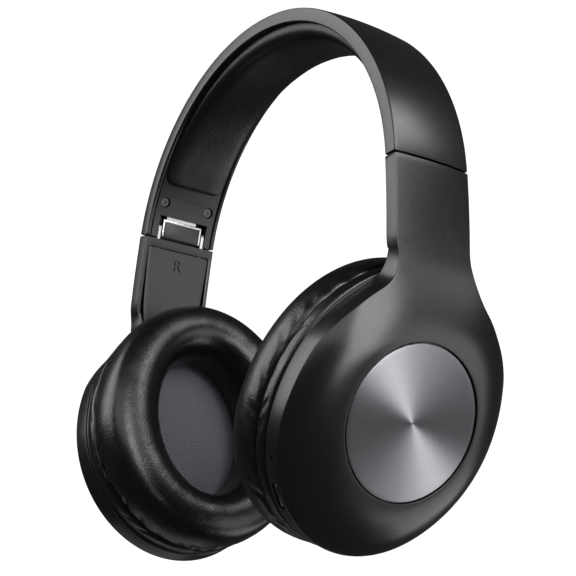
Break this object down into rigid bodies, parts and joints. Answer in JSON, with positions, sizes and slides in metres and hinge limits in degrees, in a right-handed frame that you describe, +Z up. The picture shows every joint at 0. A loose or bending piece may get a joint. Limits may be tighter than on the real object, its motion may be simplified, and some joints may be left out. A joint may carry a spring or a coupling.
{
  "type": "over-ear headphones",
  "caption": "Folding wireless over-ear headphones: flat padded band, sliding and folding arms, leaning oval cups with round metal discs and thick ring cushions.",
  "frame": {"origin": "centre of the bounding box at its base, between the feet of the two cups", "axes": "+Z up to the crown of the headband, +X to the wearer's left, -Y to the wearer's front"},
  "size_m": [0.1552, 0.0833, 0.1871],
  "materials": {
    "shell_plastic": "satin black moulded plastic",
    "cover_plastic": "fine-grained black plastic",
    "leatherette": "soft black protein leather over foam",
    "disc_metal": "radially spun gunmetal aluminium",
    "steel": "bright nickel-plated steel",
    "speaker_cloth": "dark grey woven acoustic cloth",
    "driver": "black driver basket",
    "board": "green solder mask",
    "cell": "silver pouch foil"
  },
  "bodies": {
    "band": {"band_inner_cover": "cover_plastic", "band_outer_shell": "shell_plastic", "band_spring_strip": "steel", "head_pad": "leatherette", "left_front_screw": "steel", "left_rear_screw": "steel", "right_front_screw": "steel", "right_rear_screw": "steel"},
    "left_slider": {"left_slider_strip": "steel", "left_hinge_block": "steel", "left_hinge_cap": "cover_plastic"},
    "left_cup": {"left_arm_cup_shell": "shell_plastic", "left_arm_inner_cover": "cover_plastic", "left_cushion_clip_ring": "cover_plastic", "left_disc_trim": "disc_metal", "left_ear_cushion": "leatherette", "left_hinge_fork": "steel", "left_hinge_pin": "steel", "left_speaker_baffle": "cover_plastic", "left_speaker_cloth": "speaker_cloth", "left_speaker_driver": "driver", "charging_port": "steel", "microphone": "steel", "circuit_board": "board"},
    "right_slider": {"right_slider_strip": "steel", "right_hinge_block": "steel", "right_hinge_cap": "cover_plastic"},
    "right_cup": {"right_arm_cup_shell": "shell_plastic", "right_arm_inner_cover": "cover_plastic", "right_cushion_clip_ring": "cover_plastic", "right_disc_trim": "disc_metal", "right_ear_cushion": "leatherette", "right_hinge_fork": "steel", "right_hinge_pin": "steel", "right_speaker_baffle": "cover_plastic", "right_speaker_cloth": "speaker_cloth", "right_speaker_driver": "driver", "battery_cell": "cell"},
    "volume_up": {"volume_up_button": "cover_plastic"},
    "multi_function": {"multi_function_button": "cover_plastic"},
    "volume_down": {"volume_down_button": "cover_plastic"}
  },
  "joints": [
    {"name": "left_size_slide", "type": "hinge", "parent": "band", "child": "left_slider", "pos_m": [-0.0738, 0, 0.08362], "axis": [0, -1, 0], "range_deg": [-7.6, 0]},
    {"name": "left_fold", "type": "hinge", "parent": "left_slider", "child": "left_cup", "pos_m": [0.06986, 0, 0.12396], "axis": [0, 1, 0], "range_deg": [0, 80]},
    {"name": "right_size_slide", "type": "hinge", "parent": "band", "child": "right_slider", "pos_m": [0.0738, 0, 0.08362], "axis": [0, -1, 0], "range_deg": [0, 7.6]},
    {"name": "right_fold", "type": "hinge", "parent": "right_slider", "child": "right_cup", "pos_m": [-0.06986, 0, 0.12396], "axis": [0, 1, 0], "range_deg": [-80, 0]},
    {"name": "volume_up_press", "type": "slide", "parent": "left_cup", "child": "volume_up", "axis": [0.1447, -0.8875, 0.4376], "range_m": [0, 0.0005], "stiffness_N_per_m": 500},
    {"name": "multi_function_press", "type": "slide", "parent": "left_cup", "child": "multi_function", "axis": [0.2088, -0.7469, 0.6313], "range_m": [0, 0.0005], "stiffness_N_per_m": 500},
    {"name": "volume_down_press", "type": "slide", "parent": "left_cup", "child": "volume_down", "axis": [0.2611, -0.5556, 0.7894], "range_m": [0, 0.0005], "stiffness_N_per_m": 500}
  ]
}
